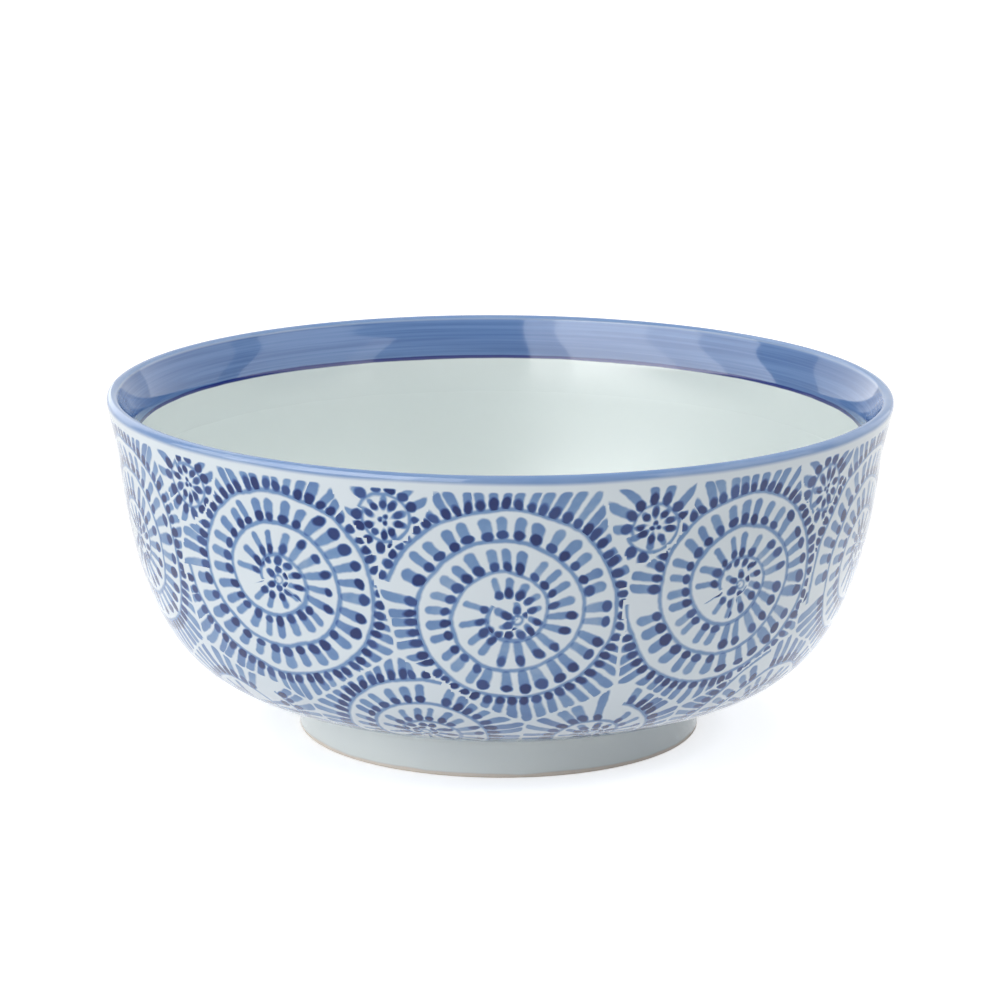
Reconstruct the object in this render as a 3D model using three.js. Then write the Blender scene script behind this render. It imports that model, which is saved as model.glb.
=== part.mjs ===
// Porcelain serving bowl: a thrown bowl with a flared, rounded lip, luted onto a low foot ring.
//
// Millimetres, +Z up. The origin is the middle of the circle that the foot ring stands on.
// Both pieces are surfaces of revolution about +Z. Each profile is a run of (radius, height)
// points walked anticlockwise, up the outside and down the inside, so its faces point outwards.

import * as THREE from 'three';

// Overall sizes.
const RIM_RADIUS = 120; // the outermost point of the lip
const BOWL_HEIGHT = 105.5; // from the table to the top of the lip

// The lip and the flare under it.
const LIP_THICKNESS = 3.6;
const LIP_TURN = 150; // degrees of the lip's round, from its outermost point over the top
const FLARE_DEPTH = 17.5; // top of the lip to where the outside starts to turn out
const FLARE_REACH = 3.3; // how far the lip stands out past the wall
const BAND_DEPTH = 12.6; // top of the lip to the foot of the sloped inside band

// The wall.
const WALL_SLANT = 83.8; // degrees from level at the top of the wall
const WALL_THICKNESS = 6.4; // measured square to the outside, at the foot of the flare
const HAUNCH_THICKNESS = 8.8; // the same, where the outside leaves the foot ring
const FLOOR_THICKNESS = 7; // at the middle
const UNDERSIDE_SLANT = 15.2; // degrees from level where the outside leaves the foot ring

// The foot ring.
const FOOT_RADIUS = 61.7;
const FOOT_HEIGHT = 11.5; // table to the flat seat under the bowl
const FOOT_SEAT_WIDTH = 8.5; // flat face that carries the bowl
const FOOT_TREAD_WIDTH = 6; // flat face that stands on the table, with its two rounded edges
const FOOT_EDGE_RADIUS = 0.9;

// How full each free curve is: a Bezier handle's length as a share of its chord.
const HAUNCH_START_FULLNESS = 0.315;
const HAUNCH_END_FULLNESS = 0.70;
const FLARE_START_FULLNESS = 0.2;
const FLARE_END_FULLNESS = 0.12;
const BAND_FULLNESS = 0.3;
const FLOOR_EDGE_FULLNESS = 0.12;
const FLOOR_CENTRE_FULLNESS = 0.6;

// Facets.
const FACETS_ROUND = 96;
const HAUNCH_STEPS = 14;
const FLARE_STEPS = 4;
const LIP_STEPS = 5;
const BAND_STEPS = 3;
const LINING_STEPS = 14;
const FLOOR_STEPS = 4;
const FOOT_EDGE_STEPS = 3;

// The clear glaze over the white body.
const GLAZE = { color: 0xd3dbdb, roughness: 0.12, metalness: 0 };

function direction(degrees) {
  const angle = THREE.MathUtils.degToRad(degrees);
  return new THREE.Vector2(Math.cos(angle), Math.sin(angle));
}

// A cubic curve that leaves start along startAngle and arrives at end along endAngle.
function sweep(start, startAngle, startFullness, end, endAngle, endFullness) {
  const chord = start.distanceTo(end);
  const leave = direction(startAngle).multiplyScalar(chord * startFullness).add(start);
  const arrive = direction(endAngle).multiplyScalar(-chord * endFullness).add(end);
  return new THREE.CubicBezierCurve(start, leave, arrive, end);
}

// Runs back along an outside curve, square to it at a thickness that grows towards its start.
class Lining extends THREE.Curve {
  constructor(outside, thicknessAtEnd, thicknessAtStart) {
    super();
    this.outside = outside;
    this.thicknessAtEnd = thicknessAtEnd;
    this.thicknessAtStart = thicknessAtStart;
  }

  getPoint(share, target = new THREE.Vector2()) {
    const tangent = this.outside.getTangent(1 - share);
    const growth = share * share;
    const thickness = THREE.MathUtils.lerp(this.thicknessAtEnd, this.thicknessAtStart, growth);
    target.set(-tangent.y, tangent.x).multiplyScalar(thickness);
    return target.add(this.outside.getPoint(1 - share));
  }
}

function arc(centre, radius, fromAngle, toAngle) {
  const [from, to] = [fromAngle, toAngle].map(THREE.MathUtils.degToRad);
  return new THREE.EllipseCurve(centre.x, centre.y, radius, radius, from, to, to < from);
}

// Joins curves and single points into one run of points, without repeating where they meet.
function profileOf(...runs) {
  const profile = [];
  for (const run of runs) {
    const points = run.isVector2 ? [run] : run.curve.getPoints(run.steps);
    for (const point of points) {
      const last = profile.at(-1);
      if (!last || last.distanceTo(point) > 1e-6) {
        profile.push(point);
      }
    }
  }
  return profile;
}

// Turns a profile about +Z.
function turned(profile) {
  const geometry = new THREE.LatheGeometry(profile, FACETS_ROUND);
  geometry.rotateX(Math.PI / 2);
  return geometry;
}

function piece(name, geometry, finish) {
  const mesh = new THREE.Mesh(geometry, new THREE.MeshStandardMaterial(finish));
  mesh.name = name;
  return mesh;
}

// The bowl: underside and seat, haunch, flare, rounded lip, sloped band, then down the lining,
// which keeps to the haunch, to the floor.
function bowlBody() {
  const seatEdge = new THREE.Vector2(FOOT_RADIUS, FOOT_HEIGHT);
  const flareFoot = new THREE.Vector2(RIM_RADIUS - FLARE_REACH, BOWL_HEIGHT - FLARE_DEPTH);
  const lipRadius = LIP_THICKNESS / 2;
  const lipCentre = new THREE.Vector2(RIM_RADIUS - lipRadius, BOWL_HEIGHT - lipRadius);
  const lipOutside = new THREE.Vector2(RIM_RADIUS, lipCentre.y);
  const lipInside = direction(LIP_TURN).multiplyScalar(lipRadius).add(lipCentre);
  const floorCentre = new THREE.Vector2(0, FOOT_HEIGHT + FLOOR_THICKNESS);

  const haunch = sweep(
    seatEdge, UNDERSIDE_SLANT, HAUNCH_START_FULLNESS,
    flareFoot, WALL_SLANT, HAUNCH_END_FULLNESS,
  );
  const flare = sweep(
    flareFoot, WALL_SLANT, FLARE_START_FULLNESS,
    lipOutside, 90, FLARE_END_FULLNESS,
  );
  const lip = arc(lipCentre, lipRadius, 0, LIP_TURN);
  const lining = new Lining(haunch, WALL_THICKNESS, HAUNCH_THICKNESS);
  const wallTop = lining.getPoint(0);
  const riseToBand = BOWL_HEIGHT - BAND_DEPTH - wallTop.y;
  const wall = direction(WALL_SLANT);
  const bandFoot = wall.multiplyScalar(riseToBand / wall.y).add(wallTop);
  const band = sweep(
    lipInside, LIP_TURN + 90, BAND_FULLNESS,
    bandFoot, WALL_SLANT + 180, BAND_FULLNESS,
  );
  const floor = sweep(
    lining.getPoint(1), UNDERSIDE_SLANT + 180, FLOOR_EDGE_FULLNESS,
    floorCentre, 180, FLOOR_CENTRE_FULLNESS,
  );
  const profile = profileOf(
    new THREE.Vector2(0, FOOT_HEIGHT),
    new THREE.Vector2(FOOT_RADIUS - FOOT_SEAT_WIDTH, FOOT_HEIGHT),
    { curve: haunch, steps: HAUNCH_STEPS },
    { curve: flare, steps: FLARE_STEPS },
    { curve: lip, steps: LIP_STEPS },
    { curve: band, steps: BAND_STEPS },
    { curve: lining, steps: LINING_STEPS },
    { curve: floor, steps: FLOOR_STEPS },
  );
  return piece('bowl_body', turned(profile), GLAZE);
}

// The foot ring: a tread with rounded edges, an upright outside, the seat, a sloped inside.
function footRing() {
  const outerEdge = new THREE.Vector2(FOOT_RADIUS - FOOT_EDGE_RADIUS, FOOT_EDGE_RADIUS);
  const innerEdge = new THREE.Vector2(
    FOOT_RADIUS - FOOT_TREAD_WIDTH + FOOT_EDGE_RADIUS,
    FOOT_EDGE_RADIUS,
  );
  const seatInside = new THREE.Vector2(FOOT_RADIUS - FOOT_SEAT_WIDTH, FOOT_HEIGHT);
  const profile = profileOf(
    { curve: arc(outerEdge, FOOT_EDGE_RADIUS, -90, 0), steps: FOOT_EDGE_STEPS },
    new THREE.Vector2(FOOT_RADIUS, FOOT_HEIGHT),
    seatInside,
    { curve: arc(innerEdge, FOOT_EDGE_RADIUS, 180, 270), steps: FOOT_EDGE_STEPS },
  );
  profile.push(profile[0]);
  return piece('foot_ring', turned(profile), GLAZE);
}

const bowl = new THREE.Group();
bowl.add(bowlBody(), footRing());

export default bowl;
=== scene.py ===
"""A porcelain serving bowl painted with scrolls, laid out as a Blender add-on and run as a script.

Sizes are in metres with +Z up, and the bowl stands on the origin. Paint is measured in
millimetres over the surface: "arc" is the way up the outside from the foot ring, over the lip
and down the inside, and "turn" goes once round the bowl, from the back to the back.
"""

import math

import bpy
import numpy as np
from bpy.props import FloatProperty, FloatVectorProperty, IntProperty, PointerProperty
from mathutils import Euler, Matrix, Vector


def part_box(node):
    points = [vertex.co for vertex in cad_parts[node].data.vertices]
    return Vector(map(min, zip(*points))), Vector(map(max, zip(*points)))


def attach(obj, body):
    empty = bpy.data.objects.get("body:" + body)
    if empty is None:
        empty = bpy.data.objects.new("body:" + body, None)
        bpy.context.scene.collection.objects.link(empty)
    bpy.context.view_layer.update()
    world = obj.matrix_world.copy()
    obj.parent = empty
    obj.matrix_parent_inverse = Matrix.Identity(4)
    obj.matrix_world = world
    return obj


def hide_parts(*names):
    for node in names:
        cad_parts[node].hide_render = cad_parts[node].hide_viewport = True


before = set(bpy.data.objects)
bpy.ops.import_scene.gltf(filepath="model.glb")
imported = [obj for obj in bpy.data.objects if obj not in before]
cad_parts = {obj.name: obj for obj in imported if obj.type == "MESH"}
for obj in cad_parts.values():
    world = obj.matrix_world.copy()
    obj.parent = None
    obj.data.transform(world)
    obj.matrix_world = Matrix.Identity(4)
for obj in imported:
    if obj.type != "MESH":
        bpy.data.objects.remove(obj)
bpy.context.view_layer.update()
BODY_LOW, BODY_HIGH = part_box("bowl_body")
FOOT_LOW, FOOT_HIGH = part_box("foot_ring")

bl_info = {
    "name": "Painted Serving Bowl",
    "version": (1, 0, 0),
    "blender": (4, 5, 0),
    "location": "3D View > Sidebar > Bowl",
    "description": "Makes a porcelain serving bowl with painted scrolls and a studio to show it in",
    "category": "Object",
}

TURN = 2 * math.pi
MM = 0.001  # metres in a millimetre
PANEL_REACH = 1.6  # metres from the bowl to the dome that the panels lie on
PANEL_BASE = 0.09  # height of that dome's middle


def linear(*shade):
    """A colour given as 0 to 255 display values, as Blender's linear light."""
    light = []
    for value in shade:
        share = value / 255
        light.append(share / 12.92 if share <= 0.04045 else ((share + 0.055) / 1.055) ** 2.4)
    return tuple(light)


# ---------------------------------------------------------------- what a user can change

def length(name, default, description):
    return FloatProperty(
        name=name, description=description, default=default, min=0, unit="LENGTH", precision=5
    )


def slant(name, degrees, description):
    return FloatProperty(
        name=name, description=description, default=math.radians(degrees), subtype="ANGLE"
    )


def number(name, default, description):
    return FloatProperty(name=name, description=description, default=default, precision=4)


def tint(name, shade, description):
    return FloatVectorProperty(
        name=name, description=description, default=linear(*shade), subtype="COLOR", min=0, max=1
    )


class BowlShape(bpy.types.PropertyGroup):
    """Sizes of the thrown bowl. The overall ones come from the frame."""

    rim_radius: length("Rim Radius", BODY_HIGH.x, "Middle to the outermost point of the lip")
    bowl_height: length("Bowl Height", BODY_HIGH.z, "Table to the top of the lip")
    foot_radius: length("Foot Radius", FOOT_HIGH.x, "Outside of the foot ring")
    foot_height: length("Foot Height", FOOT_HIGH.z, "Table to the seat under the bowl")
    lip_thickness: length("Lip Thickness", 3.6 * MM, "Thickness of the rounded lip")
    lip_turn: slant("Lip Turn", 150, "How far the lip's round goes over the top")
    flare_depth: length("Flare Depth", 17.5 * MM, "Top of the lip to where the wall turns out")
    flare_reach: length("Flare Reach", 3.3 * MM, "How far the lip stands out past the wall")
    band_depth: length("Band Depth", 12.6 * MM, "Top of the lip to the foot of the inside band")
    wall_slant: slant("Wall Slant", 83.8, "Slant of the wall's top, from level")
    underside_slant: slant("Underside Slant", 15.2, "Slant of the outside at the foot ring")
    wall_thickness: length("Wall Thickness", 6.4 * MM, "Square to the wall, under the flare")
    haunch_thickness: length("Haunch Thickness", 8.8 * MM, "Square to the wall, at the foot ring")
    floor_thickness: length("Floor Thickness", 7 * MM, "At the middle of the floor")
    ripple_depth: number("Ripple Depth", 0.0005, "Wheel marks, as a share of the radius")
    ripple_length: length("Ripple Length", 11 * MM, "Height of one wheel mark")
    steps_round: IntProperty(name="Steps Round", description="Faces round the bowl", default=480)


class FootShape(bpy.types.PropertyGroup):
    """Sizes of the foot ring and of the glaze that fills its corners."""

    seat_width: length("Seat Width", 8.5 * MM, "Flat face that carries the bowl")
    tread_width: length("Tread Width", 6 * MM, "Flat face that stands on the table")
    edge_radius: length("Edge Radius", 0.9 * MM, "Round of the tread's two edges")
    fillet: length("Fillet", 1.7 * MM, "Glaze pooled in the corner under the bowl")
    bare_height: length("Bare Height", 1.4 * MM, "Unglazed clay above the table")
    steps_round: IntProperty(name="Steps Round", description="Faces round the foot", default=360)


class ScrollBrush(bpy.types.PropertyGroup):
    """How the scrolls are brushed, in millimetres over the surface."""

    tooth_gap: number("Stroke Spacing", 2.1, "Spacing of the strokes at a scroll's middle")
    tooth_spread: number("Stroke Spread", 0.1, "Growth of that spacing with the radius")
    fringe_gap: number("Fringe Spacing", 3.25, "Spacing of the strokes outside the last turn")
    tooth_width: number("Stroke Width", 0.64, "Width of a stroke as a share of its spacing")
    dot_width: number("Dot Width", 0.7, "Width of a dark dot as a share of that spacing")
    line_width: number("Line Width", 1.3, "Width of a scroll's own line")
    softness: number("Softness", 0.44, "How far the paint bleeds at its edges")
    tremor: number("Tremor", 1.2, "How far the hand strays")
    top: number("Top", 117.4, "Arc at which the scrolls stop under the lip")


class BowlFinish(bpy.types.PropertyGroup):
    """Colours of the glaze and of the painting under it."""

    ground: tint("Ground", (212, 221, 227), "Clear glaze over the white body")
    inside: tint("Inside", (223, 231, 229), "The same on the inside, where it is thicker")
    wash: tint("Wash", (108, 142, 184), "Thin cobalt of the strokes")
    deep: tint("Deep", (66, 98, 158), "Cobalt where strokes and lines cross")
    ink: tint("Ink", (0, 34, 98), "Thick cobalt of the dots")
    lip: tint("Lip", (108, 142, 190), "Cobalt thinned over the lip")
    band_light: tint("Band Light", (98, 132, 182), "Palest streaks of the inside band")
    band_dark: tint("Band Dark", (68, 104, 158), "Darkest streaks of the inside band")
    line: tint("Line", (0, 26, 116), "Dark line under the inside band")
    foot: tint("Foot", (226, 232, 230), "Glaze on the foot ring")
    clay: tint("Clay", (226, 216, 204), "Bare fired clay of the tread")
    speck: tint("Speck", (128, 108, 92), "Iron specks in the glaze")
    roughness: number("Roughness", 0.06, "Polish of the glaze")
    wear: number("Wear", 0.3, "Polish lost inside, where the bowl is scraped and washed")


class Studio(bpy.types.PropertyGroup):
    """Camera, lamps and the light from all round."""

    distance: length("Distance", 1.3, "Camera to the aim point")
    elevation: slant("Elevation", 13.408, "Camera above the aim point")
    aim_height: length("Aim Height", 70.387 * MM, "Height that the camera looks at")
    aim_side: length("Aim Side", 0.05 * MM, "Aim point to the right of the middle")
    roll: slant("Roll", 0.303, "Camera turned about its own axis")
    lens: number("Lens", 152.17, "Focal length in millimetres")
    key_power: number("Key Power", 12, "Large lamp on the left, in watts")
    fill_power: number("Fill Power", 1.0, "Lamp at the front right, in watts")
    top_power: number("Top Power", 17, "Lamp overhead, in watts")
    room_light: number("Room Light", 0.46, "Light from all round")


class ServingBowl(bpy.types.PropertyGroup):
    """Everything that the panel lists."""

    shape: PointerProperty(type=BowlShape)
    foot: PointerProperty(type=FootShape)
    brush: PointerProperty(type=ScrollBrush)
    finish: PointerProperty(type=BowlFinish)
    studio: PointerProperty(type=Studio)


# ---------------------------------------------------------------- node building

class Reading:
    """A number that varies, held by a node's output. Maths on it adds the nodes for it."""

    def __init__(self, bench, socket):
        self.bench = bench
        self.socket = socket

    def __add__(self, other):
        return self.bench.maths("ADD", self, other)

    def __radd__(self, other):
        return self.bench.maths("ADD", other, self)

    def __sub__(self, other):
        return self.bench.maths("SUBTRACT", self, other)

    def __rsub__(self, other):
        return self.bench.maths("SUBTRACT", other, self)

    def __mul__(self, other):
        return self.bench.maths("MULTIPLY", self, other)

    def __rmul__(self, other):
        return self.bench.maths("MULTIPLY", other, self)

    def __truediv__(self, other):
        return self.bench.maths("DIVIDE", self, other)

    def __neg__(self):
        return self.bench.maths("MULTIPLY", self, -1)

    def __abs__(self):
        return self.bench.maths("ABSOLUTE", self)

    def __gt__(self, other):
        return self.bench.maths("GREATER_THAN", self, other)

    def __lt__(self, other):
        return self.bench.maths("LESS_THAN", self, other)

    def floor(self):
        return self.bench.maths("FLOOR", self)

    def fraction(self):
        return self.bench.maths("FRACT", self)

    def root(self):
        return self.bench.maths("SQRT", self)

    def sine(self):
        return self.bench.maths("SINE", self)

    def cosine(self):
        return self.bench.maths("COSINE", self)

    def least(self, other):
        return self.bench.maths("MINIMUM", self, other)

    def most(self, other):
        return self.bench.maths("MAXIMUM", self, other)

    def toward(self, other, share):
        """This number where share is 0, other where it is 1."""
        return self + (other - self) * share

    def rise(self, low, high):
        """0 up to low, 1 from high on, and smooth between."""
        settings = {"interpolation_type": "SMOOTHSTEP"}
        sockets = {"Value": self, "From Min": low, "From Max": high}
        return self.bench.reading("ShaderNodeMapRange", settings, sockets)


class Bench:
    """Where a node tree is put together."""

    def __init__(self, tree):
        self.tree = tree

    def node(self, kind, settings=None, sockets=None):
        """Adds a node: its settings first, a ramp's stops among them, then its sockets."""
        node = self.tree.nodes.new(kind)
        for name, value in (settings or {}).items():
            if name == "stops":
                self.set_stops(node.color_ramp.elements, value)
            else:
                setattr(node, name, value)
        for name, value in (sockets or {}).items():
            self.feed(node.inputs[name], value)
        return node

    def set_stops(self, elements, stops):
        while len(elements) < len(stops):
            elements.new(1)
        for element, (place, shade) in zip(elements, stops):
            element.position = place
            element.color = (*shade, 1)

    def feed(self, socket, value):
        if isinstance(value, Reading):
            value = value.socket
        if isinstance(value, bpy.types.NodeSocket):
            self.tree.links.new(value, socket)
        elif socket.type == "RGBA":
            socket.default_value = (*value, 1)
        else:
            socket.default_value = value

    def reading(self, kind, settings=None, sockets=None, output=0):
        return Reading(self, self.node(kind, settings, sockets).outputs[output])

    def maths(self, operation, *values):
        sockets = dict(enumerate(values))
        return self.reading("ShaderNodeMath", {"operation": operation}, sockets)

    def split(self, vector):
        """The three parts of a vector or of a colour."""
        node = self.node("ShaderNodeSeparateXYZ", {}, {0: vector})
        return [Reading(self, output) for output in node.outputs]

    def join(self, x, y, z):
        return self.node("ShaderNodeCombineXYZ", {}, {0: x, 1: y, 2: z}).outputs[0]

    def mix(self, first, second, share):
        """The first colour where share is 0, the second where it is 1."""
        sockets = {0: share, 6: first, 7: second}
        return self.node("ShaderNodeMix", {"data_type": "RGBA"}, sockets).outputs[2]

    def attribute(self, name):
        node = self.node("ShaderNodeAttribute", {"attribute_name": name})
        return self.split(node.outputs["Vector"])

    def place(self):
        return self.node("ShaderNodeTexCoord").outputs["Object"]

    def noise(self, vector, scale, detail=1.0, output="Fac"):
        sockets = {"Vector": vector, "Scale": scale, "Detail": detail}
        return self.node("ShaderNodeTexNoise", {}, sockets).outputs[output]

    def dice(self, x, y, z):
        """Three random numbers from 0 to 1 that stay the same for the same x, y and z."""
        sockets = {"Vector": self.join(x, y, z)}
        node = self.node("ShaderNodeTexWhiteNoise", {"noise_dimensions": "3D"}, sockets)
        return self.split(node.outputs["Color"])


def new_material(name):
    """A material with an empty tree, the bench for it and its output node."""
    material = bpy.data.materials.new(name)
    material.use_nodes = True
    material.node_tree.nodes.clear()
    bench = Bench(material.node_tree)
    return material, bench, bench.node("ShaderNodeOutputMaterial")


# ---------------------------------------------------------------- outlines

def heading(angle):
    return Vector((math.cos(angle), math.sin(angle)))


class Sweep:
    """A cubic curve that leaves start along one angle and arrives at end along another."""

    def __init__(self, start, start_angle, start_fullness, end, end_angle, end_fullness):
        chord = (end - start).length
        leave = start + heading(start_angle) * chord * start_fullness
        arrive = end - heading(end_angle) * chord * end_fullness
        self.points = (start, leave, arrive, end)

    def at(self, share):
        rest = 1 - share
        weights = (rest**3, 3 * rest**2 * share, 3 * rest * share**2, share**3)
        return sum((w * p for w, p in zip(weights, self.points)), Vector((0, 0)))

    def slope(self, share):
        rest = 1 - share
        a, b, c, d = self.points
        along = rest**2 * (b - a) + 2 * rest * share * (c - b) + share**2 * (d - c)
        return along.normalized()

    def walk(self, steps):
        return [self.at(step / steps) for step in range(steps + 1)]


def straight(start, end, steps):
    return [start.lerp(end, step / steps) for step in range(steps + 1)]


def arc(centre, radius, first, last, steps):
    turn = last - first
    return [centre + heading(first + turn * step / steps) * radius for step in range(steps + 1)]


class Outline:
    """Stretches of (radius, height) points, joined, with the arc at which each one ends."""

    def __init__(self):
        self.points = []
        self.ends = {}

    def add(self, name, stretch):
        for point in stretch:
            if not self.points or (point - self.points[-1]).length > 1e-7:
                self.points.append(point)
        self.ends[name] = self.run_to(len(self.points) - 1)

    def run_to(self, count):
        pairs = zip(self.points[:count], self.points[1:])
        return sum((after - before).length for before, after in pairs)

    def arc_of(self, name, start):
        """Arc in millimetres at the end of one stretch, counted from the end of another."""
        return (self.ends[name] - self.ends[start]) / MM

    def at(self, distance):
        """The point at a distance from the outline's start, and the direction there."""
        for before, after in zip(self.points, self.points[1:]):
            step = (after - before).length
            if distance <= step:
                return before.lerp(after, distance / step), (after - before).normalized()
            distance -= step
        raise ValueError("the outline is shorter than that")


def bowl_outline(shape):
    """The bowl, from under its middle, up the outside, over the lip and down to the floor."""
    seat_edge = Vector((shape.foot_radius, shape.foot_height))
    flare_foot = Vector(
        (shape.rim_radius - shape.flare_reach, shape.bowl_height - shape.flare_depth)
    )
    lip_radius = shape.lip_thickness / 2
    lip_centre = Vector((shape.rim_radius - lip_radius, shape.bowl_height - lip_radius))
    lip_inside = lip_centre + heading(shape.lip_turn) * lip_radius
    down_wall = shape.wall_slant + math.pi
    haunch = Sweep(
        seat_edge, shape.underside_slant, 0.315, flare_foot, shape.wall_slant, 0.70
    )
    flare = Sweep(
        flare_foot, shape.wall_slant, 0.2, lip_centre + heading(0) * lip_radius, math.pi / 2, 0.12
    )
    lining = []
    for step in range(51):
        back = step / 50
        slope = haunch.slope(1 - back)
        growth = (shape.haunch_thickness - shape.wall_thickness) * back**2
        square = Vector((-slope.y, slope.x)) * (shape.wall_thickness + growth)
        lining.append(haunch.at(1 - back) + square)
    rise = shape.bowl_height - shape.band_depth - lining[0].y
    band_foot = lining[0] + heading(shape.wall_slant) * rise / math.sin(shape.wall_slant)
    band = Sweep(lip_inside, shape.lip_turn + math.pi / 2, 0.3, band_foot, down_wall, 0.3)
    floor_centre = Vector((0, shape.foot_height + shape.floor_thickness))
    floor = Sweep(lining[-1], shape.underside_slant + math.pi, 0.12, floor_centre, math.pi, 0.6)

    outline = Outline()
    outline.add("underside", straight(Vector((0, shape.foot_height)), seat_edge, 12))
    outline.add("haunch", haunch.walk(76))
    outline.add("flare", flare.walk(12))
    outline.add("lip", arc(lip_centre, lip_radius, 0, shape.lip_turn, 14))
    outline.add("band", band.walk(10))
    outline.add("wall", straight(band_foot, lining[0], 3))
    outline.add("lining", lining)
    outline.add("floor", floor.walk(14))
    return outline


def foot_outline(shape, foot):
    """The foot ring, from its tread up the outside, along the seat and down the inside."""
    radius = foot.edge_radius
    outer = Vector((shape.foot_radius - radius, radius))
    inner = Vector((shape.foot_radius - foot.tread_width + radius, radius))
    seat_outside = Vector((shape.foot_radius, shape.foot_height))
    seat_inside = Vector((shape.foot_radius - foot.seat_width, shape.foot_height))
    under_bowl = seat_outside + heading(shape.underside_slant) * foot.fillet
    up = math.pi / 2
    pooled = Sweep(
        seat_outside - heading(up) * foot.fillet, up, 0.4, under_bowl, shape.underside_slant, 0.4
    )
    inner_wall = inner - heading(0) * radius
    down = (inner_wall - seat_inside).normalized()
    below = seat_inside + down * foot.fillet
    pooled_inside = Sweep(
        seat_inside - heading(0) * foot.fillet, 0, 0.4, below, math.atan2(down.y, down.x), 0.4
    )

    outline = Outline()
    outline.add("edge", arc(outer, radius, -up, 0, 8))
    outline.add("outside", straight(outer + heading(0) * radius, pooled.points[0], 8))
    outline.add("pooled", pooled.walk(8))
    outline.add("seat", [under_bowl, seat_outside, seat_inside])
    outline.add("pooled_inside", pooled_inside.walk(8))
    outline.add("inside", straight(below, inner_wall, 8))
    outline.add("inner_edge", arc(inner, radius, math.pi, 1.5 * math.pi, 8))
    outline.add("tread", straight(inner - heading(up) * radius, outer - heading(up) * radius, 4))
    return outline


# ---------------------------------------------------------------- turning on the wheel

def turning_tree():
    """Nodes that turn an outline about the upright axis, with faint ripples from the wheel."""
    tree = bpy.data.node_groups.new("Turn Outline", "GeometryNodeTree")
    for name, kind in (
        ("Outline", "Geometry"),
        ("Steps Round", "Int"),
        ("Arc Start", "Float"),
        ("Ripple Depth", "Float"),
        ("Ripple Length", "Float"),
        ("Seed", "Float"),
        ("Finish", "Material"),
    ):
        tree.interface.new_socket(name, in_out="INPUT", socket_type="NodeSocket" + kind)
    tree.interface.new_socket("Turned", in_out="OUTPUT", socket_type="NodeSocketGeometry")
    bench = Bench(tree)
    given = bench.node("NodeGroupInput").outputs
    outline = given["Outline"]
    steps = Reading(bench, given["Steps Round"])

    count = bench.reading(
        "GeometryNodeAttributeDomainSize", {"component": "CURVE"}, {"Geometry": outline}
    )
    grid = bench.node(
        "GeometryNodeMeshGrid", {}, {0: 1.0, 1: 1.0, 2: steps + 1, 3: count}
    ).outputs["Mesh"]
    place = bench.node("GeometryNodeInputPosition").outputs[0]
    across, along, _ = bench.split(place)
    turn = across + 0.5
    row = ((along + 0.5) * (count - 1) + 0.5).floor()
    radius, _, height = bench.split(
        bench.node(
            "GeometryNodeSampleIndex",
            {"data_type": "FLOAT_VECTOR", "domain": "POINT"},
            {"Geometry": outline, "Value": place, "Index": row},
        ).outputs[0]
    )
    run = bench.node("GeometryNodeSplineParameter").outputs["Length"]
    distance = bench.reading(
        "GeometryNodeSampleIndex",
        {"data_type": "FLOAT", "domain": "POINT"},
        {"Geometry": outline, "Value": run, "Index": row},
    )
    angle = (turn - 0.5) * TURN
    marks = bench.noise(
        bench.join(
            angle.sine() * 0.4,
            angle.cosine() * 0.4,
            distance / Reading(bench, given["Ripple Length"]) + Reading(bench, given["Seed"]),
        ),
        1.0,
        2.0,
    )
    reach = radius * (1 - Reading(bench, given["Ripple Depth"]) * Reading(bench, marks))
    arc_here = (distance - Reading(bench, given["Arc Start"])) / MM
    at_points = bench.node(
        "GeometryNodeFieldOnDomain",
        {"data_type": "FLOAT_VECTOR", "domain": "POINT"},
        {0: bench.join(turn, arc_here, 0.0)},
    ).outputs[0]
    marked = bench.node(
        "GeometryNodeStoreNamedAttribute",
        {"data_type": "FLOAT_VECTOR", "domain": "CORNER"},
        {"Geometry": grid, "Name": "wall", "Value": at_points},
    ).outputs[0]
    turned = bench.node(
        "GeometryNodeSetPosition",
        {},
        {
            "Geometry": marked,
            "Position": bench.join(reach * angle.sine(), -(reach * angle.cosine()), height),
        },
    ).outputs[0]
    closed = bench.node(
        "GeometryNodeMergeByDistance", {}, {"Geometry": turned, "Distance": 1e-6}
    ).outputs[0]
    smooth = bench.node("GeometryNodeSetShadeSmooth", {"domain": "FACE"}, {0: closed}).outputs[0]
    bend = bench.reading("GeometryNodeInputMeshEdgeAngle")
    edged = bench.node(
        "GeometryNodeSetShadeSmooth",
        {"domain": "EDGE"},
        {0: smooth, 1: bend > math.radians(40), 2: False},
    ).outputs[0]
    real = bench.node("GeometryNodeRealizeInstances", {}, {0: edged}).outputs[0]
    finished = bench.node(
        "GeometryNodeSetMaterial", {}, {"Geometry": real, "Material": given["Finish"]}
    ).outputs[0]
    bench.node("NodeGroupOutput", {}, {0: finished})
    return tree


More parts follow.
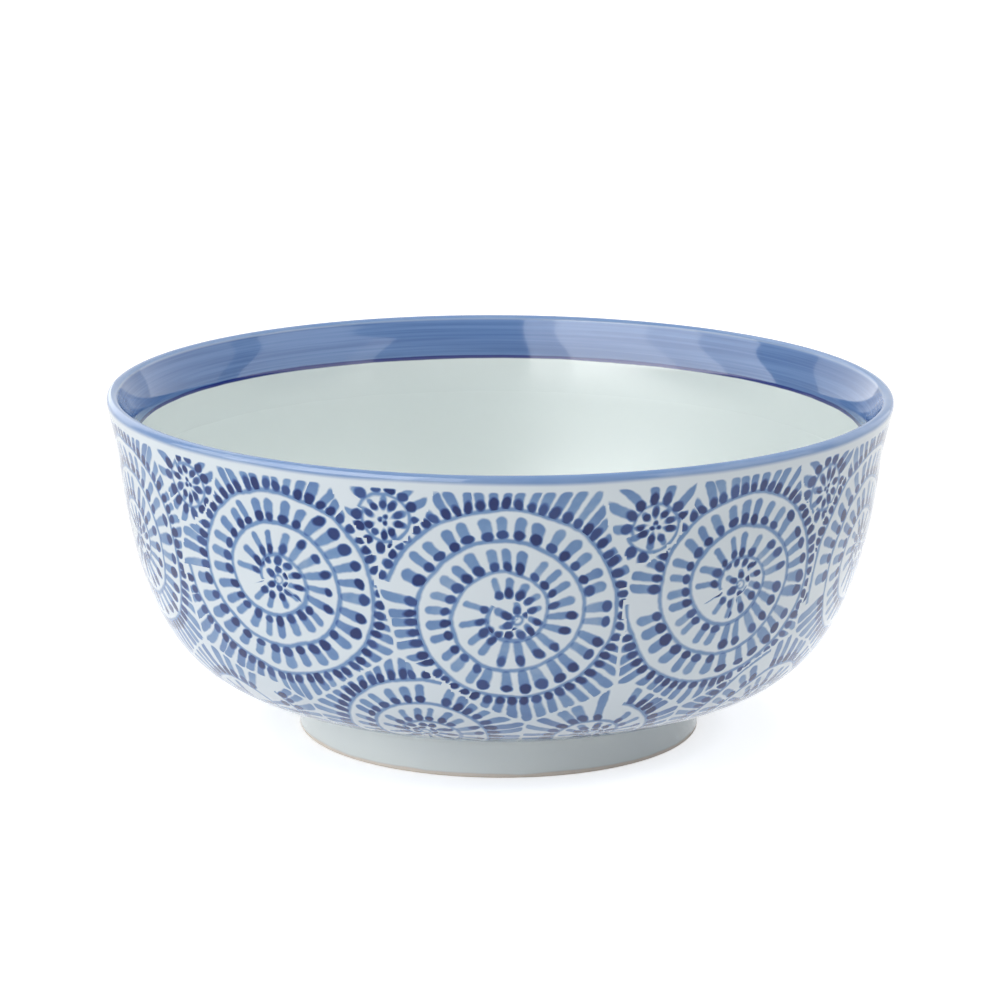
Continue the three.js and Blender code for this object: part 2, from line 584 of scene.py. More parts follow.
def turned_piece(name, outline, values):
    """Draws the outline, turns it with the tree, and keeps the result as a plain mesh."""
    curve = bpy.data.curves.new(name + "_outline", "CURVE")
    curve.dimensions = "3D"
    spline = curve.splines.new("POLY")
    spline.points.add(len(outline.points) - 1)
    for point, (radius, height) in zip(spline.points, outline.points):
        point.co = (radius, 0, height, 1)
    drawn = bpy.data.objects.new(name + "_outline", curve)
    bpy.context.scene.collection.objects.link(drawn)
    tree = bpy.data.node_groups.get("Turn Outline") or turning_tree()
    modifier = drawn.modifiers.new("Turn Outline", "NODES")
    modifier.node_group = tree
    for item in tree.interface.items_tree:
        if item.in_out == "INPUT" and item.name in values:
            modifier[item.identifier] = values[item.name]
    evaluated = drawn.evaluated_get(bpy.context.evaluated_depsgraph_get())
    mesh = bpy.data.meshes.new_from_object(evaluated)
    bpy.data.objects.remove(drawn)
    mesh.name = name
    piece = bpy.data.objects.new(name, mesh)
    bpy.context.scene.collection.objects.link(piece)
    return piece


# ---------------------------------------------------------------- laying the paint out

def corner_values(mesh, name):
    values = np.empty(len(mesh.loops) * 3, np.float32)
    mesh.attributes[name].data.foreach_get("vector", values)
    return values.reshape(-1, 3).astype(float)


def store_corners(mesh, name, values):
    attribute = mesh.attributes.new(name, "FLOAT_VECTOR", "CORNER")
    attribute.data.foreach_set("vector", np.ascontiguousarray(values, np.float32).ravel())


def face_of_corners(mesh):
    totals = np.empty(len(mesh.polygons), np.int32)
    mesh.polygons.foreach_get("loop_total", totals)
    return np.repeat(np.arange(len(totals)), totals), totals


def face_means(values, owner, totals):
    sums = [np.bincount(owner, column, len(totals)) for column in values.T]
    return np.stack(sums, 1) / totals[:, None]


def spread_out(mesh, rows):
    """Lays the surface out in rows, each a stretch of arc cut into equal turns, for its bake."""
    wall = corner_values(mesh, "wall")
    owner, totals = face_of_corners(mesh)
    middle = face_means(wall, owner, totals)
    whole = sum(share * cuts for _, _, cuts, share in rows)
    gap = 0.008
    scale = (1 - gap * (1 + sum(cuts for _, _, cuts, _ in rows))) / whole
    flat = np.zeros((len(wall), 2))
    base = gap
    for low, high, cuts, share in rows:
        for cut in range(cuts):
            inside = (middle[:, 1] >= low) & (middle[:, 1] < high)
            inside &= np.floor(middle[:, 0] * cuts) == cut
            here = inside[owner]
            flat[here, 0] = gap / 2 + (wall[here, 0] * cuts - cut) * (1 - gap)
            flat[here, 1] = base + (wall[here, 1] - low) / (high - low) * share * scale
            base += share * scale + gap
    layer = mesh.uv_layers.new(name="OFBake")
    layer.data.foreach_set("uv", flat.astype(np.float32).ravel())


class Scroll:
    """One painted scroll: where its middle is, and how its line winds out from there.

    The middle is an angle round from the front and an arc up the wall. The line leaves the
    start radius and opens by pitch with each turn. Hand is 1 where it opens anticlockwise as
    seen from outside, and tail is the direction of its outer end. The eye is a small ring,
    a little off the middle, with strokes of its own. Ends gives the middle and the half width
    of the sector where the dots sit at the strokes' outer ends.
    """

    def __init__(
        self, angle, height, start, pitch, turns, hand, tail,
        wide=1.0, eye=(0, 0, 1.3), ends=(-30, 60),
    ):
        self.angle = math.radians(angle)
        self.height = height
        self.start = start
        self.pitch = pitch
        self.turns = turns
        self.hand = hand
        self.phase = (turns - hand * tail / 360) % 1
        self.wide = wide
        self.eye = eye
        self.ends = [math.radians(angle) for angle in ends]

    def middle(self, outline):
        """The middle on the surface, and the directions east and up there."""
        (radius, height), slope = outline.at(outline.ends["underside"] + self.height * MM)
        sine, cosine = math.sin(self.angle), math.cos(self.angle)
        place = Vector((radius * sine, -radius * cosine, height))
        east = Vector((cosine, sine, 0))
        up = Vector((slope.x * sine, -slope.x * cosine, slope.y))
        return place, east, up

    def spots(self, outline, points):
        """Where points lie on the scroll's own flat drawing, in millimetres."""
        place, east, up = self.middle(outline)
        away = (points - np.array(place)) / MM
        x, y = away @ np.array(east), away @ np.array(up)
        true = np.linalg.norm(away, axis=1) / np.maximum(np.hypot(x, y), 1e-6)
        return x * true / self.wide, y * true

    def beyond(self, outline, points):
        """How far each point lies outside the last turn of the line, whose end is eased off."""
        x, y = self.spots(outline, points)
        share = (self.hand * np.arctan2(y, x) / TURN + self.phase) % 1
        eased = 1 - np.clip((share - self.turns) % 1 / 0.09, 0, 1)
        edge = self.start + self.pitch * (share + np.floor(self.turns - share) + eased)
        return np.hypot(x, y) - edge


def plan_scrolls():
    """All the scrolls: ten large ones round the wall, small ones between them under the lip,
    and low ones between them that the foot ring cuts."""
    scrolls = [
        Scroll(1.4, 79.2, 4.9, 9.75, 3.05, 1, 166, 1.03, (2.1, -1.8, 1.3), (-46, 62)),
        Scroll(36.5, 83.7, 4.8, 9.75, 3.04, -1, 186, 1.03, (1.7, -1.0, 1.3), (-26, 68)),
        Scroll(71.5, 81, 4.7, 9.7, 3.1, 1, 200, 1.0, (-1.2, 0.8, 1.3)),
        Scroll(108, 82, 4.4, 9.5, 3.05, -1, 160, 1.02, (0.9, 1.3, 1.2)),
        Scroll(144, 80, 4.9, 9.3, 3.0, 1, 150, 1.0, (1.6, -0.6, 1.4)),
        Scroll(181, 82.5, 4.6, 9.7, 2.95, -1, 190, 1.03, (-0.7, -1.5, 1.3)),
        Scroll(217, 80, 4.3, 9.6, 3.1, 1, 170, 1.0, (1.8, 0.4, 1.2)),
        Scroll(253.5, 81, 4.7, 9.4, 3.1, -1, 175, 1.02, (0.6, -1.2, 1.3)),
        Scroll(289.5, 83, 4.6, 9.7, 3.0, 1, 185, 1.0, (-1.4, 0.9, 1.3)),
        Scroll(325.8, 85.3, 4.3, 9.9, 3.03, -1, 186, 1.07, (1.2, -0.1, 1.3), (8, 50)),
    ]
    small = (
        (22, 104.5), (54, 106.8), (90, 105), (126, 106), (162, 105),
        (199, 106), (235, 105), (271, 106), (310, 109), (344, 107.3),
    )
    for count, (angle, height) in enumerate(small):
        hand = 1 if count % 2 else -1
        eye = (0.3 - 0.06 * count, 0.2, 2.5 + 0.05 * count)
        scrolls.append(Scroll(angle, height, 6.3, 1.6, 1.0, hand, 200 + 35 * count, 1.0, eye))
    low = (
        (17.5, 29, 1.6), (53, 32, 2.5), (90, 31, 2.3), (126, 30, 2.5), (162, 31, 1.9),
        (199, 29, 2.4), (235, 32, 2.5), (271, 31, 2.2), (308, 31, 1.9), (346.5, 31, 2.5),
    )
    for count, (angle, height, turns) in enumerate(low):
        hand = -1 if count % 2 else 1
        scrolls.append(Scroll(angle, height, 3.4, 9.0, turns, hand, 70 + 40 * count))
    return scrolls


def share_wall(away, given=None):
    """Which scroll each spot goes to, and how far it is from the next scroll's ground.

    Two scrolls meet half way, but where they nearly touch the first painted takes all of the
    narrow gap, up to a little short of the other's line.
    """
    away = np.stack(away)
    spots = np.arange(away.shape[1])
    first = np.argmin(away, 0) if given is None else given
    rest = away.copy()
    rest[first, spots] = np.inf
    second = np.argmin(rest, 0)
    mine, other = away[first, spots], away[second, spots]
    whole = mine + other
    narrow = np.clip((6.5 - whole) / 2.5, 0, 1)
    narrow = narrow * narrow * (3 - 2 * narrow)
    bonus = np.maximum(whole - 1.8, 0) * narrow * np.where(first < second, 1, -1)
    clear = (other - mine + bonus) / 2
    return np.where(clear < 0, second, first), clear


def lay_scrolls(mesh, outline, brush):
    """Gives each face on the outside to its nearest scroll, and stores where it lies on it."""
    wall = corner_values(mesh, "wall")
    owner, totals = face_of_corners(mesh)
    corners = np.empty(len(mesh.loops), np.int32)
    mesh.loops.foreach_get("vertex_index", corners)
    points = np.empty(len(mesh.vertices) * 3, np.float32)
    mesh.vertices.foreach_get("co", points)
    points = points.reshape(-1, 3).astype(float)[corners]
    centres = face_means(points, owner, totals)

    scrolls = plan_scrolls()
    nearest = share_wall([s.beyond(outline, centres) for s in scrolls])[0][owner]
    away = [s.beyond(outline, points) for s in scrolls]
    gap = share_wall(away, nearest)[1]

    parts = ("place", "build", "hand", "eye", "ends")
    stored = {part: np.zeros((len(points), 3)) for part in parts}
    for count, scroll in enumerate(scrolls):
        x, y = scroll.spots(outline, points)
        mine = nearest == count
        stored["place"][mine, 0] = x[mine]
        stored["place"][mine, 1] = y[mine]
        stored["build"][mine] = (scroll.turns, scroll.pitch, scroll.start)
        stored["hand"][mine] = (scroll.hand, scroll.phase, count)
        stored["eye"][mine] = scroll.eye
        stored["ends"][mine] = (*scroll.ends, 0)
    stored["place"][:, 2] = np.minimum(gap, brush.top - wall[:, 1])
    for part, values in stored.items():
        store_corners(mesh, "scroll_" + part, values)


# ---------------------------------------------------------------- finishes

def scroll_cobalt(bench, brush):
    """How much cobalt the scrolls lay on a spot: 0 for none, about 0.4 for a wash, 1 for a dot."""
    x, y, gap = bench.attribute("scroll_place")
    turns, pitch, start = bench.attribute("scroll_build")
    hand, phase, seed = bench.attribute("scroll_hand")
    eye_x, eye_y, eye = bench.attribute("scroll_eye")
    ends_at, ends_reach, _ = bench.attribute("scroll_ends")
    seed = (seed + 0.5).floor()

    # The hand strays slowly, and the brush's edge is never quite even.
    slow_x, slow_y, heavy = bench.split(bench.noise(bench.place(), 75.0, 1.0, "Color"))
    quick_x, quick_y, ragged = bench.split(bench.noise(bench.place(), 420.0, 1.0, "Color"))
    x = x + (slow_x - 0.5) * (brush.tremor * 2) + (quick_x - 0.5) * 0.5
    y = y + (slow_y - 0.5) * (brush.tremor * 2) + (quick_y - 0.5) * 0.5

    # Which zone a spot is in: the core round the eye, the bay before the line's first turn has
    # closed, between two turns of the line, or the fringe outside its last turn.
    round_line = bench.maths("ARCTAN2", y, x)
    from_middle = (x * x + y * y).root()
    share = (hand * round_line / TURN + phase).fraction()
    inner_line = start + pitch * share
    passed = (from_middle - inner_line) / pitch
    last = (turns - share).floor()
    small = eye > 2
    core_edge = start.toward(inner_line, small)
    core = from_middle < core_edge
    bay = (1 - core) * (passed < 0)
    fringe = (passed > last) * (1 - core)
    line = (inner_line + pitch * passed.floor().least(last).most(0)).toward(start, bay)
    x, y = x - eye_x * core, y - eye_y * core
    radius = (x * x + y * y).root()
    angle = bench.maths("ARCTAN2", y, x)
    foot = line.toward(eye, core)
    depth = radius - foot
    aslant = (eye_x * x + eye_y * y) / radius
    off_middle = eye_x * eye_x + eye_y * eye_y
    from_eye = (core_edge * core_edge - off_middle + aslant * aslant).most(0).root() - aslant
    between = pitch.toward(inner_line - start, bay).toward(from_eye - eye, core)
    room = between.toward(depth + gap, fringe)

    # Strokes are spaced along the line, and more widely as it opens out.
    a, b = brush.tooth_gap, brush.tooth_spread
    count = (start * 2.8).toward((eye + 1.3) * 2.3, core)
    by_angle = core + bay
    along_turn = angle / TURN * (count + 0.5).floor() + seed
    opened = (line - bench.maths("LOGARITHM", a + b * line, math.e) * (a / b)) * (TURN / b) / pitch
    run = line * line * (math.pi / brush.fringe_gap) / pitch
    along = opened.toward(run, fringe).toward(along_turn, by_angle)
    spacing = (a + b * line).toward(brush.fringe_gap, fringe)
    spacing = spacing.toward(TURN * foot / (count + 0.5).floor(), by_angle)
    natural = spacing.most(2.6) * (radius / foot).least(1.25)
    tooth = along.floor()
    dice_place = (tooth + by_angle * 500 + fringe * 900, seed)
    side_luck, long_luck, wide_luck = bench.dice(*dice_place, 1.0)
    lean_luck, dot_luck, dark_luck = bench.dice(*dice_place, 2.0)
    offset = along - tooth - 0.5
    width_here = spacing * radius / foot
    tip = depth / room.most(3)

    # No stroke crosses the line's two ends, and all paint thins out at the next scroll.
    tooth_share = share - offset * spacing / foot / TURN
    past_end = (tooth_share - turns).fraction()
    past_begin = tooth_share.fraction()
    reach = spacing / foot * (0.38 / TURN)
    at_end = (from_middle > start + pitch * (turns - 1)) * (past_end.least(1 - past_end) < reach)
    at_begin = (from_middle < start + pitch) * (past_begin.least(1 - past_begin) < reach)
    clear = gap.rise(0.0, 0.7)
    laid_out = clear * (1 - at_end.most(at_begin) * (1 - core))
    lean = (lean_luck - 0.5) * 1.5 * tip + (long_luck - 0.35) * 1.3 * tip * tip
    aside = (offset - (side_luck - 0.5) * 0.2) * width_here + lean

    # In one quarter the dots sit at the strokes' outer ends, elsewhere at their roots.
    tooth_angle = angle - hand * offset * spacing / foot
    turned_out = (tooth_angle - ends_at).cosine() > (ends_reach + (long_luck - 0.5) * 0.2).cosine()
    turned_out = turned_out * (1 - fringe) * (1 - core)
    first = (0.9 + (side_luck - 0.5) * 0.5).toward(0.1, turned_out)
    banded = room * (0.78 + (long_luck - 0.5) * 0.1 + core * 0.14)
    free = (12 + long_luck * 5).least(room - 0.1)
    end = banded.toward(free, fringe)
    crowd = room.rise(0.9, 2.2)
    swell = 0.88 + 0.16 * tip
    half_width = natural * (brush.tooth_width / 2) * (0.86 + 0.28 * wide_luck) * swell * (1 + 0.16 * fringe)
    half_width = half_width.least(width_here * 0.39)
    half_length = ((end - first) / 2 - half_width).most(0.02)
    past = (abs(depth - (first + end) / 2) - half_length).most(0)
    uneven = (ragged - 0.5) * 0.35
    soft = brush.softness
    stroke = 1 - ((aside * aside + past * past).root() - half_width + uneven).rise(-soft, soft)

    # Dots, most of them longer than they are wide.
    dot_at = (first + 0.8).toward(end - 0.9, turned_out)
    dot_half = natural * (brush.dot_width / 2) * (0.86 + 0.28 * dot_luck + 0.12 * fringe)
    dot_half = dot_half.least(width_here * 0.42)
    dot_long = (1.2 + 0.7 * wide_luck + 0.4 * fringe).least(room * 0.45)
    across, down = aside / dot_half, (depth - dot_at) / dot_long
    from_dot = ((across * across + down * down).root() - 1) * dot_half + uneven
    dot = 1 - from_dot.rise(-soft, soft)

    # The scroll's own line, and the ring at its eye.
    near_line = abs(depth) + (bay + core * small).least(1) * 50
    next_line = (pitch - depth).toward(abs(from_middle - inner_line), by_angle)
    from_line = near_line.least(abs(next_line) + fringe * 50)
    half_line = brush.line_width / 2 * (0.7 + 0.6 * heavy) * (1 - 0.4 * core)
    drawn = 1 - (from_line - half_line).rise(-soft, soft)

    tone = 0.35 + 0.08 * tip + 0.12 * dark_luck + 0.16 * (heavy - 0.5) + 0.1 * (ragged - 0.5)
    wash = stroke * crowd * tone * laid_out
    traced = drawn * (0.34 + 0.16 * heavy) * clear
    laid = 1 - (1 - wash) * (1 - traced)

    # Three more dots in the middle of the small scrolls, which have no ring there.
    third = (angle / TURN * 3 + seed * 0.37).fraction() - 0.5
    from_third = ((radius - 1.1) * (radius - 1.1) + third * third * radius * radius * 4).root()
    middle_dot = (1 - (from_third - 0.72).rise(-soft, soft)) * core * small
    dots = (dot * crowd * laid_out).most(middle_dot)
    return laid.toward(0.8 + 0.2 * dark_luck, dots)


def band_streaks(bench, turned_place, arc_here):
    """Streaks that a wide brush leaves round the turning bowl, from 0 to 1."""
    x, y, _ = bench.split(turned_place)
    spun = bench.node("ShaderNodeVectorMath", {"operation": "NORMALIZE"}, {0: bench.join(x, y, 0.0)})
    round_x, round_y, _ = bench.split(spun.outputs[0])
    fine = bench.noise(bench.join(round_x * 1.6, round_y * 1.6, arc_here * 1.1), 1.0, 3.0)
    broad = bench.noise(bench.join(round_x * 1.2, round_y * 1.2, arc_here * 0.25 + 7.0), 1.0, 1.0)
    streaks = Reading(bench, fine) * 0.55 + Reading(bench, broad) * 0.45
    return streaks.rise(0.34, 0.66)


def specks(bench, spacing, size):
    """A few tiny iron specks, as a mask."""
    settings = {"voronoi_dimensions": "3D", "feature": "F1"}
    sockets = {"Vector": bench.place(), "Scale": 1 / spacing}
    cells = bench.node("ShaderNodeTexVoronoi", settings, sockets)
    chance, scale, _ = bench.split(cells.outputs["Color"])
    away = Reading(bench, cells.outputs["Distance"]) * spacing
    return (1 - away.rise(size * 0.3, size)) * (chance > 0.8) * (0.4 + 0.6 * scale)


def glaze_surface(bench, output, colour, roughness, relief):
    """Joins a colour, a roughness and a height in metres to a glazed surface."""
    bump = bench.node("ShaderNodeBump", {}, {"Strength": 1.0, "Distance": 1.0, "Height": relief})
    surface = bench.node(
        "ShaderNodeBsdfPrincipled",
        {},
        {
            "Base Color": colour,
            "Roughness": roughness,
            "Normal": bump.outputs[0],
            "IOR": 1.46,
        },
    )
    bench.feed(output.inputs["Surface"], surface.outputs[0])


def painted_glaze(outline, brush, finish):
    """Clear glaze over the painted scrolls, lip, inside band and line."""
    material, bench, output = new_material("painted_glaze")
    _, arc_here, _ = bench.attribute("wall")
    lip_end = outline.arc_of("lip", "underside")
    band_end = outline.arc_of("band", "underside")
    place = bench.place()
    drift = Reading(bench, bench.noise(place, 60.0, 2.0))
    sway = Reading(bench, bench.noise(place, 25.0, 1.0))

    outside = (arc_here > 0.3) * (arc_here < brush.top + 1)
    cobalt = scroll_cobalt(bench, brush) * outside
    stops = ((0.0, finish.ground), (0.42, finish.wash), (0.66, finish.deep), (0.94, finish.ink))
    painted = bench.node("ShaderNodeValToRGB", {"stops": stops}, {0: cobalt}).outputs[0]
    inside = arc_here.rise(band_end - 1, band_end)
    ground = bench.mix(painted, finish.inside, inside)

    blue_start = brush.top + 1.2
    edge = arc_here + (sway - 0.5) * 1.2
    on_lip = edge.rise(blue_start, blue_start + 1.6)
    on_lip = on_lip * (1 - arc_here.rise(lip_end - 0.6, lip_end + 0.6))
    lipped = bench.mix(ground, finish.lip, on_lip * (0.8 + 0.3 * drift))
    streaks = band_streaks(bench, place, arc_here)
    band = bench.mix(finish.band_dark, finish.band_light, streaks)
    on_band = arc_here.rise(lip_end - 0.6, lip_end + 0.6) * (1 - arc_here.rise(band_end - 0.3, band_end))
    banded = bench.mix(lipped, band, on_band)
    thick = 0.55 + (sway - 0.5) * 0.5
    from_line = abs(arc_here + (drift - 0.5) * 0.5 - band_end)
    on_line = 1 - (from_line - thick).rise(-0.18, 0.22)
    lined = bench.mix(banded, finish.line, on_line * 0.96)
    speck = specks(bench, 0.016, 0.0004)
    colour = bench.mix(lined, finish.speck, speck * 0.7)

    worn = arc_here.rise(band_end, band_end + 18) * finish.wear
    polish = finish.roughness * (0.8 + 0.5 * drift) + 0.15 * speck + worn
    pits = Reading(bench, bench.noise(place, 700.0, 1.0))
    hollow = arc_here.rise(band_end - 3, band_end + 14) * 500
    relief = (sway * 90 + drift * 18 + pits * 0.6 + cobalt * 2 + hollow) * 1e-6
    glaze_surface(bench, output, colour, polish, relief)
    return material


def foot_glaze(foot, finish):
    """Plain glaze on the foot ring, stopping just above its bare clay tread."""
    material, bench, output = new_material("plain_glaze")
    place = bench.place()
    _, _, height = bench.split(place)
    drift = Reading(bench, bench.noise(place, 60.0, 2.0))
    grain = Reading(bench, bench.noise(place, 2200.0, 2.0))
    level = height / foot.bare_height + (drift - 0.5) * 0.9
    glazed = level.rise(0.8, 1.15)
    burnt = (1 - abs(level - 0.95).rise(0.05, 0.4)) * 0.14
    clay = bench.mix(finish.clay, finish.speck, (grain - 0.35) * 0.2)
    edged = bench.mix(bench.mix(clay, finish.foot, glazed), finish.speck, burnt)
    colour = bench.mix(edged, finish.speck, specks(bench, 0.012, 0.0004) * 0.7)
    polish = (0.75 + 0.15 * grain).toward(finish.roughness + 0.03 * drift, glazed)
    relief = (drift * 25 + grain * (1 - glazed) * 12) * 1e-6
    glaze_surface(bench, output, colour, polish, relief)
    return material


# ---------------------------------------------------------------- the pieces

def settle(piece, node):
    """Puts a finished piece in the frame, in place of its CAD node."""
    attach(piece, "root")
    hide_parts(node)


class BOWL_OT_painted_bowl(bpy.types.Operator):
    """Turn the bowl, lay its scrolls out and glaze it"""

    bl_idname = "bowl.painted_bowl"
    bl_label = "Painted Bowl"

    def execute(self, context):
        bowl = context.scene.serving_bowl
        outline = bowl_outline(bowl.shape)
        finish = painted_glaze(outline, bowl.brush, bowl.finish)
        piece = turned_piece("painted_bowl", outline, {
            "Steps Round": bowl.shape.steps_round,
            "Arc Start": outline.ends["underside"],
            "Ripple Depth": bowl.shape.ripple_depth,
            "Ripple Length": bowl.shape.ripple_length,
            "Seed": 4.0,
            "Finish": finish,
        })
        lay_scrolls(piece.data, outline, bowl.brush)
        lip = outline.arc_of("flare", "underside")
        band = outline.arc_of("band", "underside") + 2
        floor = outline.arc_of("floor", "underside") + 1
        middle_under = -outline.ends["underside"] / MM - 1
        spread_out(piece.data, (
            (0, lip, 2, 310),
            (lip, band, 2, 52),
            (band, floor, 1, 190),
            (middle_under, 0, 1, 36),
        ))
        settle(piece, "bowl_body")
        return {"FINISHED"}


class BOWL_OT_foot_ring(bpy.types.Operator):
    """Turn the foot ring and glaze it down to its bare tread"""

    bl_idname = "bowl.foot_ring"
    bl_label = "Foot Ring"

    def execute(self, context):
        bowl = context.scene.serving_bowl
        outline = foot_outline(bowl.shape, bowl.foot)
        piece = turned_piece("glazed_foot_ring", outline, {
            "Steps Round": bowl.foot.steps_round,
            "Arc Start": 0.0,
            "Ripple Depth": 0.0,
            "Ripple Length": bowl.shape.ripple_length,
            "Seed": 9.0,
            "Finish": foot_glaze(bowl.foot, bowl.finish),
        })
        whole = outline.ends["tread"] / MM + 1
        spread_out(piece.data, ((-1, whole, 3, 1),))
        settle(piece, "foot_ring")
        return {"FINISHED"}


# ---------------------------------------------------------------- the studio

def added(name, data):
    """A new object in the scene, made from a mesh, a lamp or a camera."""
    made = bpy.data.objects.new(name, data)
    bpy.context.scene.collection.objects.link(made)
    return made


def sheet(name, corners, faces, material):
    """A thin sheet that belongs to the studio and not to the bowl."""
    mesh = bpy.data.meshes.new(name)
    mesh.from_pydata(corners, [], faces)
    mesh.materials.append(material)
    made = added(name, mesh)
    return made


def floor_with_painted_fill():
    """A pale floor that looks white to the camera and takes only a narrow contact shadow: a painted fill of
    light covers the rest of the bowl's shadow.
    """
    material, bench, output = new_material("floor_paper_painted_fill")
    light_path = bench.node("ShaderNodeLightPath").outputs
    paper = bench.node("ShaderNodeBsdfDiffuse", {}, {"Color": (0.8, 0.8, 0.8)})
    x, y, _ = bench.split(bench.place())
    away = (x * x + y * y).root()
    from_painted_fill_middle = ((x - 0.04) * (x - 0.04) + y * y).root()
    # Painted light: the glow is lowest right at the foot, which leaves a narrow contact shadow. It is
    # raised over the bowl's broad shadow round it, more on the right where the key lamp's shadow falls, and
    # raised again far off where the lamps fall away.
    painted_fill_near = 0.52 + 0.22 * away.rise(0.06, 0.083) + 0.1 * x.rise(0.0, 0.06)
    level = (painted_fill_near - 0.46 * from_painted_fill_middle.rise(0.12, 0.28) + 0.5 * away.rise(0.3, 1.1)).least(0.75)
    shade = bench.join(level, level, level)
    glow = bench.node("ShaderNodeEmission", {}, {"Color": shade, "Strength": 1.0})
    both = bench.node("ShaderNodeAddShader", {}, {0: paper.outputs[0], 1: glow.outputs[0]})
    seen = Reading(bench, light_path["Is Camera Ray"]).most(
        Reading(bench, light_path["Is Glossy Ray"])
    )
    seen = seen.most(Reading(bench, light_path["Is Transmission Ray"]))
    plain = bench.node("ShaderNodeBsdfDiffuse", {}, {"Color": (0.92, 0.92, 0.92)})
    mixed = bench.node("ShaderNodeMixShader", {}, {0: seen, 1: plain.outputs[0], 2: both.outputs[0]})
    bench.feed(output.inputs["Surface"], mixed.outputs[0])
    return material


def room(studio):
    """Even light from all round, which the camera sees as white."""
    world = bpy.data.worlds.new("studio_room")
    world.use_nodes = True
    world.node_tree.nodes.clear()
    bench = Bench(world.node_tree)
    light_path = bench.node("ShaderNodeLightPath").outputs
    rays = ("Is Camera Ray", "Is Glossy Ray", "Is Transmission Ray")
    seen, glossy, through = (Reading(bench, light_path[ray]) for ray in rays)
    level = studio.room_light + (1 - studio.room_light) * seen.most(glossy).most(through)
    background = bench.node(
        "ShaderNodeBackground", {}, {"Color": (1.0, 1.0, 1.0), "Strength": level}
    )
    bench.node("ShaderNodeOutputWorld", {}, {"Surface": background.outputs[0]})
    bpy.context.scene.world = world


def lamp(name, place, aim, size, power, shade):
    """A soft rectangular lamp that lights the bowl and isn't seen in its glaze."""
    data = bpy.data.lights.new(name, "AREA")
    data.shape = "RECTANGLE"
    data.size, data.size_y = size
    data.energy = power
    data.color = shade
    made = added(name, data)
    made.location = place
    made.rotation_euler = (Vector(aim) - Vector(place)).to_track_quat("-Z", "Y").to_euler()
    made.visible_glossy = False
    made.visible_camera = False


def reflected_panel(name, first, last, low, high, strength):
    """A domed white panel, seen only in the glaze, between two bearings and two elevations.

    Bearings are in degrees from the front, towards +X.
    """
    material, bench, output = new_material(name)
    glow = bench.node("ShaderNodeEmission", {}, {"Color": (1.0, 1.0, 1.0), "Strength": strength})
    bench.feed(output.inputs["Surface"], glow.outputs[0])
    across = max(2, round(abs(last - first) / 6))
    upward = max(1, round((high - low) / 6))
    vertices = []
    for step in range(across + 1):
        bearing = math.radians(first + (last - first) * step / across)
        for lift in range(upward + 1):
            rise = math.radians(low + (high - low) * lift / upward)
            out = PANEL_REACH * math.cos(rise)
            up = PANEL_BASE + PANEL_REACH * math.sin(rise)
            vertices.append((out * math.sin(bearing), -out * math.cos(bearing), up))
    column = upward + 1
    faces = [
        (step, step + column, step + column + 1, step + 1)
        for step in range(across * column)
        if (step + 1) % column
    ]
    made = sheet(name, vertices, faces, material)
    made.visible_camera = False
    made.visible_diffuse = False
    made.visible_shadow = False


def camera(studio):
    """The camera, low in front, looking a little down at the bowl."""
    data = bpy.data.cameras.new("camera")
    data.lens = studio.lens
    data.sensor_width = 36
    made = added("camera", data)
    level, lift = math.cos(studio.elevation), math.sin(studio.elevation)
    made.location = (0, -studio.distance * level, studio.aim_height + studio.distance * lift)
    aim = Vector((studio.aim_side, 0, studio.aim_height))
    look = (aim - made.location).to_track_quat("-Z", "Y")
    made.rotation_euler = (look.to_matrix() @ Euler((0, 0, studio.roll)).to_matrix()).to_euler()
    bpy.context.scene.camera = made


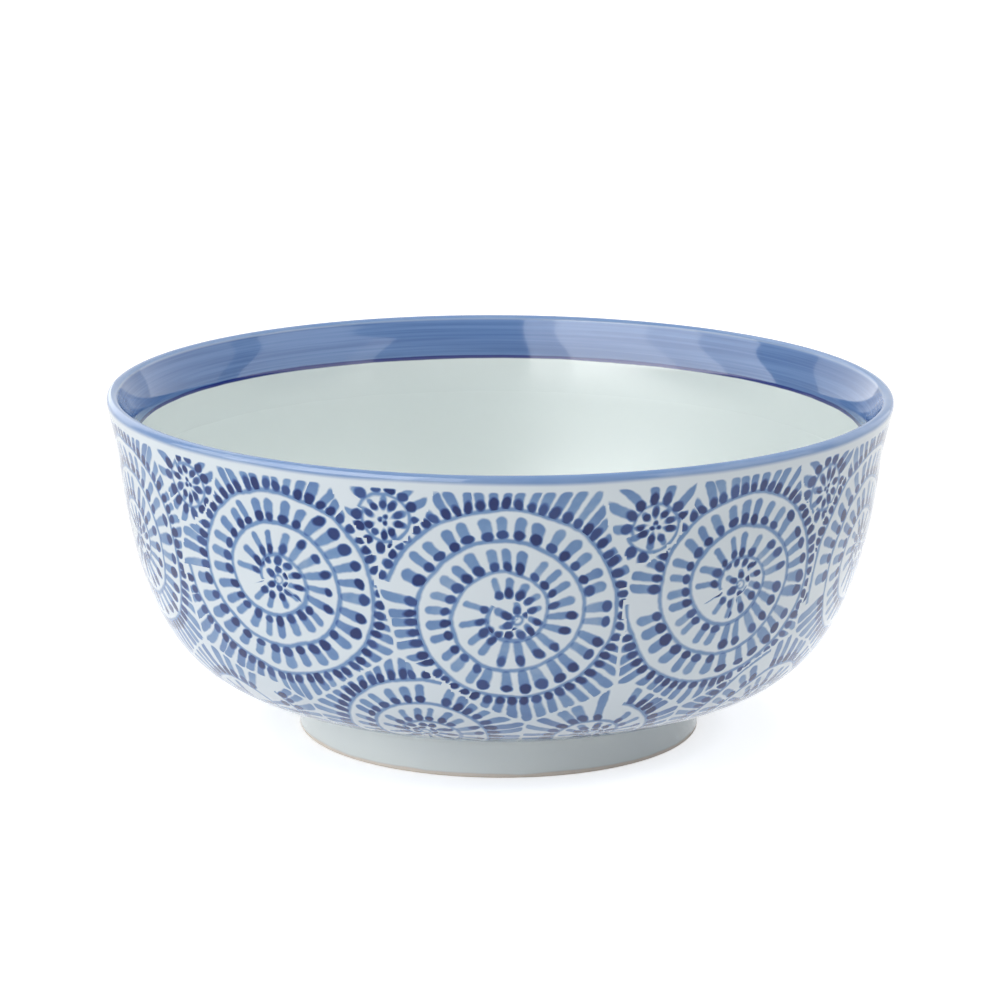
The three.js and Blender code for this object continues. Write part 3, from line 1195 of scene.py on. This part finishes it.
class BOWL_OT_studio(bpy.types.Operator):
    """Set up the floor, the lamps, the reflected panels and the camera"""

    bl_idname = "bowl.studio"
    bl_label = "Studio"

    def execute(self, context):
        studio = context.scene.serving_bowl.studio
        reach = 6
        corners = [(-reach, -reach, 0), (reach, -reach, 0), (reach, reach, 0), (-reach, reach, 0)]
        sheet("floor", corners, [(0, 1, 2, 3)], floor_with_painted_fill())
        room(studio)
        aim = (0, 0, 0.05)
        lamp("key_lamp", (-1.45, -0.8, 0.45), aim, (1.3, 0.9), studio.key_power, (1, 1, 1))
        lamp("fill_lamp", (1.2, -1.3, 0.9), aim, (1.0, 1.0), studio.fill_power, (1, 1, 1))
        lamp("top_lamp", (0.3, 0.1, 1.8), aim, (1.2, 1.2), studio.top_power, (1, 1, 1))
        reflected_panel("key_panel_end", -24, -10, 2, 58, 5.0)
        reflected_panel("key_panel", -62, -24, 2, 58, 8.2)
        reflected_panel("key_panel_side", -82, -62, 2, 58, 6.6)
        reflected_panel("key_panel_far", -104, -82, 2, 58, 4.3)
        reflected_panel("window_panel", -165, -128, 2, 52, 2.2)
        reflected_panel("front_panel", -10, 44, 2, 50, 1.3)
        reflected_panel("fill_panel", 44, 54, 2, 50, 3.2)
        reflected_panel("fill_panel_side", 54, 98, 2, 50, 2.6)
        reflected_panel("back_panel", 108, 150, 2, 50, 1.7)
        camera(studio)
        view = context.scene.view_settings
        view.view_transform = "Standard"
        return {"FINISHED"}


# ---------------------------------------------------------------- the add-on

class BOWL_PT_serving_bowl(bpy.types.Panel):
    """Lists the bowl's sizes, colours and operators"""

    bl_idname = "BOWL_PT_serving_bowl"
    bl_label = "Serving Bowl"
    bl_space_type = "VIEW_3D"
    bl_region_type = "UI"
    bl_category = "Bowl"

    def draw(self, context):
        bowl = context.scene.serving_bowl
        for group in (bowl.shape, bowl.foot, bowl.brush, bowl.finish, bowl.studio):
            box = self.layout.box()
            for name in group.__annotations__:
                box.prop(group, name)
        for operator in OPERATORS:
            self.layout.operator(operator.bl_idname)


GROUPS = (BowlShape, FootShape, ScrollBrush, BowlFinish, Studio, ServingBowl)
OPERATORS = (BOWL_OT_studio, BOWL_OT_painted_bowl, BOWL_OT_foot_ring)
CLASSES = (*GROUPS, *OPERATORS, BOWL_PT_serving_bowl)


def register():
    for each in CLASSES:
        bpy.utils.register_class(each)
    bpy.types.Scene.serving_bowl = PointerProperty(type=ServingBowl)


def unregister():
    del bpy.types.Scene.serving_bowl
    for each in reversed(CLASSES):
        bpy.utils.unregister_class(each)


def main():
    """Makes everything in order."""
    register()
    bpy.ops.bowl.studio()
    bpy.ops.bowl.painted_bowl()
    bpy.ops.bowl.foot_ring()


if __name__ == "__main__":
    main()
